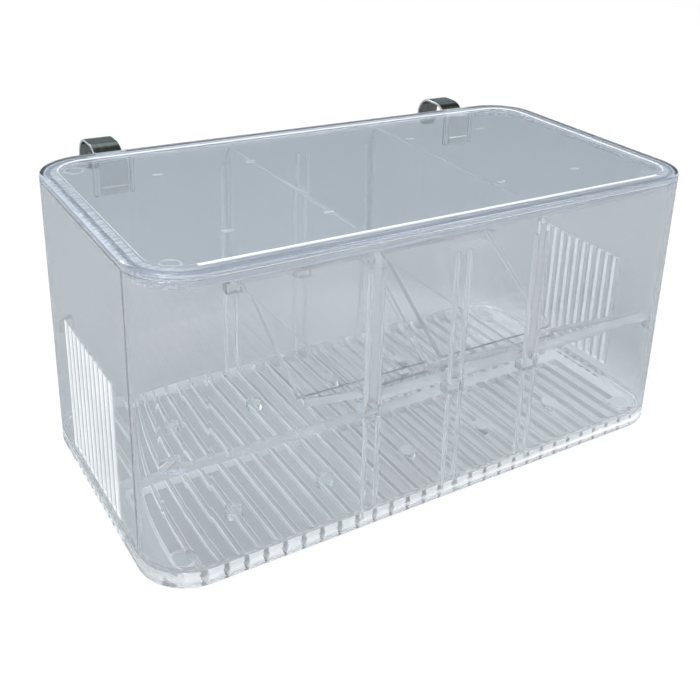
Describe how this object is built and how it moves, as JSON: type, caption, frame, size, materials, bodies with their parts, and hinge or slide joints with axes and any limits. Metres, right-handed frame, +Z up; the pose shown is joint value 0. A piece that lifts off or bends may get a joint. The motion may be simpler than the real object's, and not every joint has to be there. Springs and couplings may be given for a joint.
{
  "type": "fish breeding box",
  "caption": "Clear hang-on breeding box for small fish with flat lid, slotted floor and ends, lift-out dividers, V-shaped fry traps and glass-rim hooks.",
  "frame": {"origin": "centre of the box's underside, midway between the ends and between the front and back walls", "axes": "+X along the box to the right as seen from the front, +Y to the back where the hooks are, +Z up"},
  "size_m": [0.205, 0.131, 0.102],
  "materials": {
    "box_plastic": "clear, faintly cool styrene, polished",
    "lid_plastic": "clear, faintly cool styrene, polished",
    "insert_plastic": "clear styrene, polished",
    "hook_steel": "bent stainless strip, lightly brushed"
  },
  "bodies": {
    "box_body": {"box": "box_plastic"},
    "lid_body": {"lid": "lid_plastic"},
    "divider_left_body": {"divider_left": "insert_plastic"},
    "divider_right_body": {"divider_right": "insert_plastic"},
    "center_back_body": {"center_back_panel": "insert_plastic"},
    "center_front_body": {"center_front_panel": "insert_plastic"},
    "right_back_body": {"right_back_panel": "insert_plastic"},
    "right_front_body": {"right_front_panel": "insert_plastic"},
    "hook_left_body": {"hook_left": "hook_steel"},
    "hook_right_body": {"hook_right": "hook_steel"}
  },
  "joints": [
    {"name": "lid_lift", "type": "slide", "parent": "box_body", "child": "lid_body", "axis": [0, 0, 1], "range_m": [0, 0.15]},
    {"name": "divider_left_lift", "type": "slide", "parent": "box_body", "child": "divider_left_body", "axis": [0, 0, 1], "range_m": [0, 0.06]},
    {"name": "divider_right_lift", "type": "slide", "parent": "box_body", "child": "divider_right_body", "axis": [0, 0, 1], "range_m": [0, 0.06]},
    {"name": "center_back_lift", "type": "slide", "parent": "box_body", "child": "center_back_body", "axis": [0, 0, 1], "range_m": [0, 0.096]},
    {"name": "center_front_lift", "type": "slide", "parent": "box_body", "child": "center_front_body", "axis": [0, 0, 1], "range_m": [0, 0.096]},
    {"name": "right_back_lift", "type": "slide", "parent": "box_body", "child": "right_back_body", "axis": [0, 0, 1], "range_m": [0, 0.096]},
    {"name": "right_front_lift", "type": "slide", "parent": "box_body", "child": "right_front_body", "axis": [0, 0, 1], "range_m": [0, 0.096]},
    {"name": "hook_left_lift", "type": "slide", "parent": "box_body", "child": "hook_left_body", "axis": [0, 0, 1], "range_m": [0, 0.02]},
    {"name": "hook_right_lift", "type": "slide", "parent": "box_body", "child": "hook_right_body", "axis": [0, 0, 1], "range_m": [0, 0.02]}
  ],
  "couplings": [
    {"joint": "divider_left_lift", "follows": "lid_lift", "ratio": 0.4},
    {"joint": "divider_right_lift", "follows": "lid_lift", "ratio": 0.4},
    {"joint": "center_back_lift", "follows": "lid_lift", "ratio": 0.64},
    {"joint": "center_front_lift", "follows": "lid_lift", "ratio": 0.64},
    {"joint": "right_back_lift", "follows": "lid_lift", "ratio": 0.64},
    {"joint": "right_front_lift", "follows": "lid_lift", "ratio": 0.64},
    {"joint": "hook_left_lift", "follows": "lid_lift", "ratio": 0.13333},
    {"joint": "hook_right_lift", "follows": "lid_lift", "ratio": 0.13333}
  ]
}
